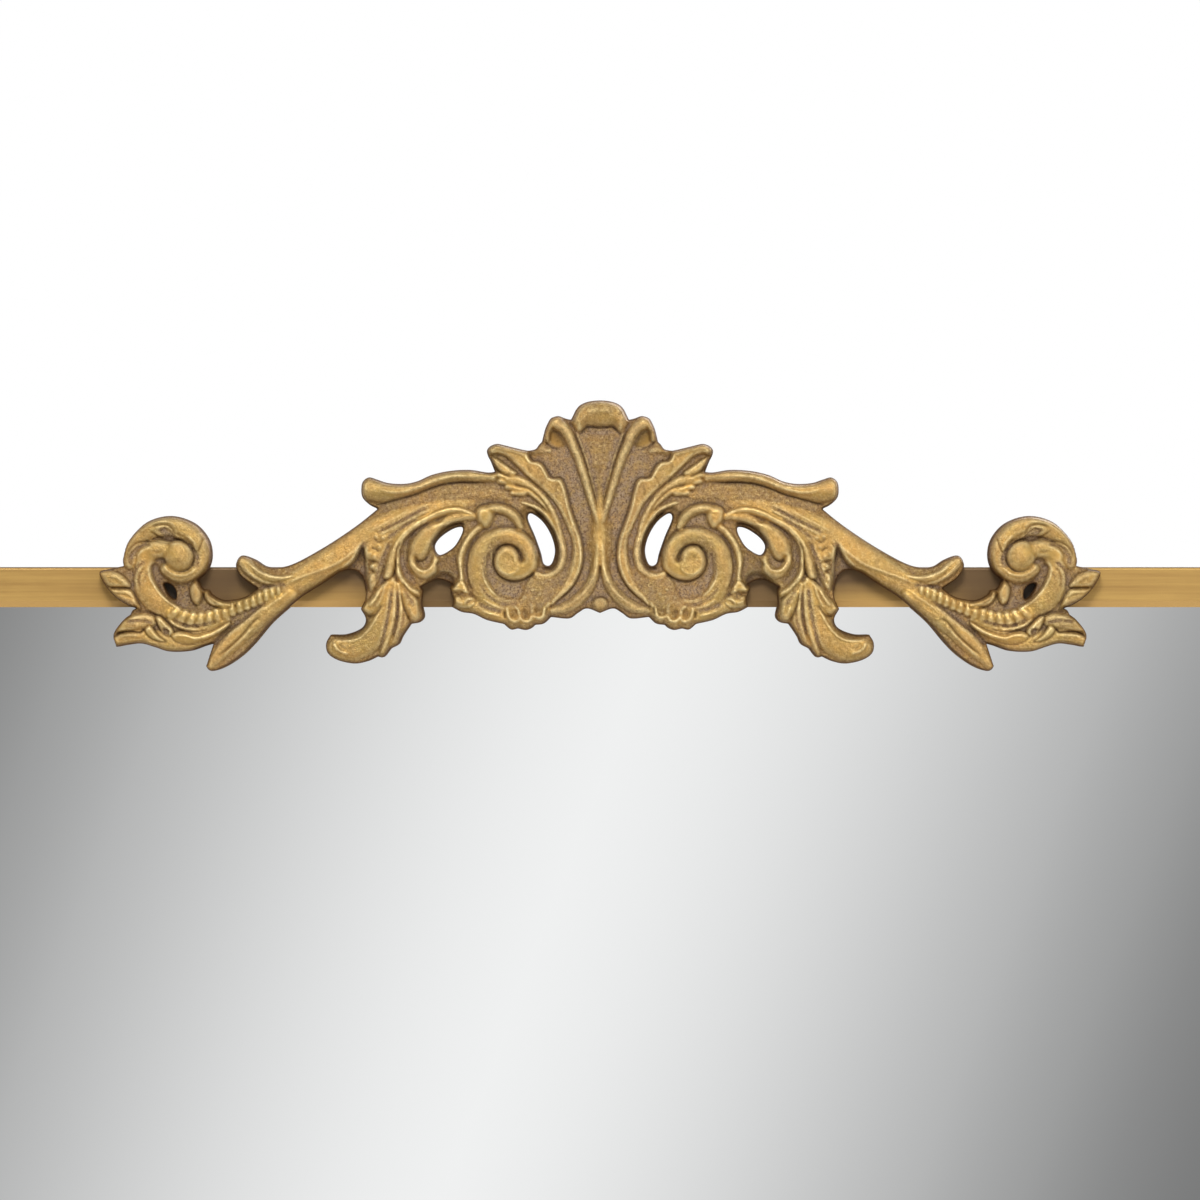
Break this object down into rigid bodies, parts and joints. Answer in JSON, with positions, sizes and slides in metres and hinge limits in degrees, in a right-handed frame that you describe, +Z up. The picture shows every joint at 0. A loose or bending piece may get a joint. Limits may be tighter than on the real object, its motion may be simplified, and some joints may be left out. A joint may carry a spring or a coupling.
{
  "type": "wall mirror",
  "caption": "Rectangular wall mirror in a slim gilt frame, crowned by a cast scroll-and-palmette crest, with swinging ring hangers and turn buttons on the back.",
  "frame": {"origin": "on the wall plane, midway between the two hanging rings, at the height where the hooks bear", "axes": "+Z up the wall, +X to the right seen from the front, +Y into the wall, so the glass faces -Y"},
  "size_m": [0.61, 0.043, 0.9937],
  "materials": {
    "frame_gold": "satin gilt over a wood moulding",
    "crest_gold": "antique gold with a taupe glaze on cast resin",
    "mirror": "silvered float glass",
    "fibre_board": "raw fibre board",
    "foam_tape": "white foam tape",
    "zinc_steel": "zinc-plated steel",
    "bumper_rubber": "black rubber"
  },
  "bodies": {
    "frame": {"top_rail": "frame_gold", "bottom_rail": "frame_gold", "left_stile": "frame_gold", "right_stile": "frame_gold", "corner_v_nails": "zinc_steel", "mirror_glass": "mirror", "glass_tape_strips": "foam_tape", "backing_board": "fibre_board", "crest_casting": "crest_gold", "crest_screws": "zinc_steel", "left_hanger_strap": "zinc_steel", "right_hanger_strap": "zinc_steel", "hanger_screws": "zinc_steel", "turn_button_screws": "zinc_steel", "wall_bumpers": "bumper_rubber"},
    "left_hanger_ring": {"left_hanger_ring": "zinc_steel"},
    "right_hanger_ring": {"right_hanger_ring": "zinc_steel"},
    "top_left_turn_button": {"top_left_turn_button": "zinc_steel"},
    "bottom_left_turn_button": {"bottom_left_turn_button": "zinc_steel"},
    "top_right_turn_button": {"top_right_turn_button": "zinc_steel"},
    "bottom_right_turn_button": {"bottom_right_turn_button": "zinc_steel"},
    "left_upper_turn_button": {"left_upper_turn_button": "zinc_steel"},
    "right_upper_turn_button": {"right_upper_turn_button": "zinc_steel"},
    "left_lower_turn_button": {"left_lower_turn_button": "zinc_steel"},
    "right_lower_turn_button": {"right_lower_turn_button": "zinc_steel"}
  },
  "joints": [
    {"name": "left_ring_swing", "type": "hinge", "parent": "frame", "child": "left_hanger_ring", "pos_m": [-0.297, -0.00275, -0.01075], "axis": [-1, 0, 0], "range_deg": [0, 165]},
    {"name": "right_ring_swing", "type": "hinge", "parent": "frame", "child": "right_hanger_ring", "pos_m": [0.297, -0.00275, -0.01075], "axis": [-1, 0, 0], "range_deg": [0, 165]},
    {"name": "top_left_button_turn", "type": "hinge", "parent": "frame", "child": "top_left_turn_button", "pos_m": [-0.122, -0.0048, 0.1435], "axis": [0, 1, 0], "continuous": true},
    {"name": "bottom_left_button_turn", "type": "hinge", "parent": "frame", "child": "bottom_left_turn_button", "pos_m": [-0.122, -0.0048, -0.7575], "axis": [0, 1, 0], "continuous": true},
    {"name": "top_right_button_turn", "type": "hinge", "parent": "frame", "child": "top_right_turn_button", "pos_m": [0.122, -0.0048, 0.1435], "axis": [0, 1, 0], "continuous": true},
    {"name": "bottom_right_button_turn", "type": "hinge", "parent": "frame", "child": "bottom_right_turn_button", "pos_m": [0.122, -0.0048, -0.7575], "axis": [0, 1, 0], "continuous": true},
    {"name": "left_upper_button_turn", "type": "hinge", "parent": "frame", "child": "left_upper_turn_button", "pos_m": [-0.2985, -0.0048, -0.2156], "axis": [0, 1, 0], "continuous": true},
    {"name": "right_upper_button_turn", "type": "hinge", "parent": "frame", "child": "right_upper_turn_button", "pos_m": [0.2985, -0.0048, -0.2156], "axis": [0, 1, 0], "continuous": true},
    {"name": "left_lower_button_turn", "type": "hinge", "parent": "frame", "child": "left_lower_turn_button", "pos_m": [-0.2985, -0.0048, -0.5812], "axis": [0, 1, 0], "continuous": true},
    {"name": "right_lower_button_turn", "type": "hinge", "parent": "frame", "child": "right_lower_turn_button", "pos_m": [0.2985, -0.0048, -0.5812], "axis": [0, 1, 0], "continuous": true}
  ]
}
